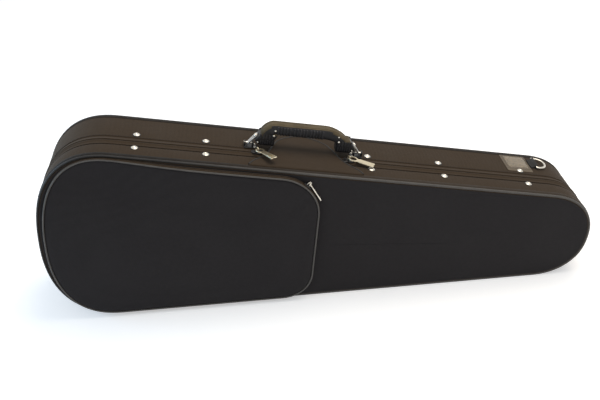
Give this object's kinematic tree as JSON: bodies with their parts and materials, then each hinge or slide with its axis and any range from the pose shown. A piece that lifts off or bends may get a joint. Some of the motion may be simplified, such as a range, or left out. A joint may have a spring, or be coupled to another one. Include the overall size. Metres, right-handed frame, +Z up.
{
  "type": "violin case",
  "caption": "Shaped violin case with a zipped lid, side handle, music pocket, fitted bed and accessory compartment.",
  "frame": {"origin": "on the flat side that the case stands on, under the middle of its length and depth", "axes": "+X along the case towards its narrow end, -Y towards the lid, +Z up towards the handle"},
  "size_m": [0.7935, 0.13, 0.2656],
  "materials": {
    "nylon": "woven black nylon with a dull sheen",
    "binding": "smooth black binding and webbing",
    "tape": "ribbed black zip tape",
    "coil": "black nylon coil, half gloss",
    "moulding": "moulded black plastic, half gloss",
    "steel": "thin bright strip",
    "nickel": "warm nickel plate",
    "window": "clear soft vinyl",
    "plush": "short plush"
  },
  "bodies": {
    "base": {"base_shell": "nylon", "base_piping": "binding", "base_zip_tape": "tape", "base_zip_coil": "coil", "base_hinge_cloth": "tape", "base_lining": "plush", "body_bed": "plush", "neck_cradle": "plush", "compartment_wall": "plush", "name_tag_frame": "binding", "name_tag_window": "window", "strap_tab_upper": "binding", "strap_tab_lower": "binding", "base_rivet_1": "nickel", "base_rivet_2": "nickel", "base_rivet_3": "nickel", "base_rivet_4": "nickel", "base_rivet_5": "nickel", "handle_foot_left": "steel", "handle_foot_right": "steel", "handle_pin_left": "nickel", "handle_pin_right": "nickel"},
    "lid": {"lid_shell": "nylon", "lid_piping": "binding", "lid_zip_tape": "tape", "lid_zip_coil": "coil", "lid_hinge_cloth": "tape", "lid_lining": "plush", "zip_flap": "nylon", "pocket_gusset": "nylon", "bow_clip_base_upper": "moulding", "bow_clip_base_lower": "moulding", "bow_loop_upper": "binding", "bow_loop_lower": "binding", "lid_rivet_1": "nickel", "lid_rivet_2": "nickel", "lid_rivet_3": "nickel", "lid_rivet_4": "nickel", "lid_rivet_5": "nickel"},
    "handle": {"handle_grip": "moulding", "handle_end_left": "moulding", "handle_end_right": "moulding", "handle_bail_left": "steel", "handle_bail_right": "steel", "handle_rivet_left": "nickel", "handle_rivet_right": "nickel"},
    "slider_left": {"zip_slider_left": "nickel"},
    "slider_right": {"zip_slider_right": "nickel"},
    "pull_left": {"zip_pull_left": "nickel"},
    "pull_right": {"zip_pull_right": "nickel"},
    "pocket": {"pocket_panel": "nylon", "pocket_piping": "binding"},
    "pocket_slider": {"pocket_slider": "nickel"},
    "pocket_pull": {"pocket_pull": "nickel"},
    "ring_upper": {"strap_ring_upper": "nickel"},
    "ring_lower": {"strap_ring_lower": "nickel"},
    "compartment_lid": {"compartment_lid": "plush"},
    "neck_strap": {"neck_strap": "binding"},
    "bow_clip_upper": {"bow_clip_upper": "moulding"},
    "bow_clip_lower": {"bow_clip_lower": "moulding"}
  },
  "joints": [
    {"name": "lid_hinge", "type": "hinge", "parent": "base", "child": "lid", "pos_m": [0, -0.0165, 0], "axis": [1, 0, 0], "range_deg": [0, 60]},
    {"name": "handle_swing", "type": "hinge", "parent": "base", "child": "handle", "pos_m": [-0.01985, 0.002, 0.21788], "axis": [0.9814, 0, -0.192], "range_deg": [-45, 20]},
    {"name": "slider_left_travel", "type": "slide", "parent": "base", "child": "slider_left", "axis": [-0.9814, 0, 0.192], "range_m": [0, 0.15]},
    {"name": "slider_right_travel", "type": "slide", "parent": "base", "child": "slider_right", "axis": [0.9814, 0, -0.192], "range_m": [0, 0.25]},
    {"name": "pull_left_hinge", "type": "hinge", "parent": "slider_left", "child": "pull_left", "pos_m": [-0.08535, -0.0165, 0.23141], "axis": [-0.8039, -0.5736, 0.1573], "range_deg": [0, 30]},
    {"name": "pull_right_hinge", "type": "hinge", "parent": "slider_right", "child": "pull_right", "pos_m": [0.04172, -0.0165, 0.20654], "axis": [-0.3992, -0.9135, 0.0781], "range_deg": [0, 80]},
    {"name": "pocket_hinge", "type": "hinge", "parent": "lid", "child": "pocket", "pos_m": [0, -0.07, 0.006], "axis": [1, 0, 0], "range_deg": [0, 10]},
    {"name": "pocket_slider_travel", "type": "hinge", "parent": "lid", "child": "pocket_slider", "pos_m": [-0.0667, -0.0636, 0.15419], "axis": [0, -1, 0], "range_deg": [0, 28]},
    {"name": "pocket_pull_hinge", "type": "hinge", "parent": "pocket_slider", "child": "pocket_pull", "pos_m": [-0.01869, -0.0636, 0.19904], "axis": [0, -1, 0], "range_deg": [0, 80]},
    {"name": "ring_upper_hinge", "type": "hinge", "parent": "base", "child": "ring_upper", "pos_m": [0.32969, 0.025, 0.14734], "axis": [0, -1, 0], "range_deg": [0, 150]},
    {"name": "ring_lower_hinge", "type": "hinge", "parent": "base", "child": "ring_lower", "pos_m": [-0.39644, 0.025, 0.08427], "axis": [0, 1, 0], "range_deg": [0, 150]},
    {"name": "compartment_lid_hinge", "type": "hinge", "parent": "base", "child": "compartment_lid", "pos_m": [0.25113, -0.015, 0], "axis": [0, 0, -1], "range_deg": [0, 48]},
    {"name": "neck_strap_hinge", "type": "hinge", "parent": "base", "child": "neck_strap", "pos_m": [0.09509, -0.0143, 0.04276], "axis": [0.9953, 0, -0.0965], "range_deg": [0, 57]},
    {"name": "bow_clip_upper_turn", "type": "hinge", "parent": "lid", "child": "bow_clip_upper", "pos_m": [-0.27836, 0, 0.18546], "axis": [0, 1, 0], "range_deg": [0, 90]},
    {"name": "bow_clip_lower_turn", "type": "hinge", "parent": "lid", "child": "bow_clip_lower", "pos_m": [-0.28898, 0, 0.07597], "axis": [0, 1, 0], "range_deg": [0, 90]}
  ],
  "couplings": [
    {"joint": "compartment_lid_hinge", "follows": "lid_hinge", "ratio": 0.8},
    {"joint": "neck_strap_hinge", "follows": "lid_hinge", "ratio": 0.95}
  ]
}
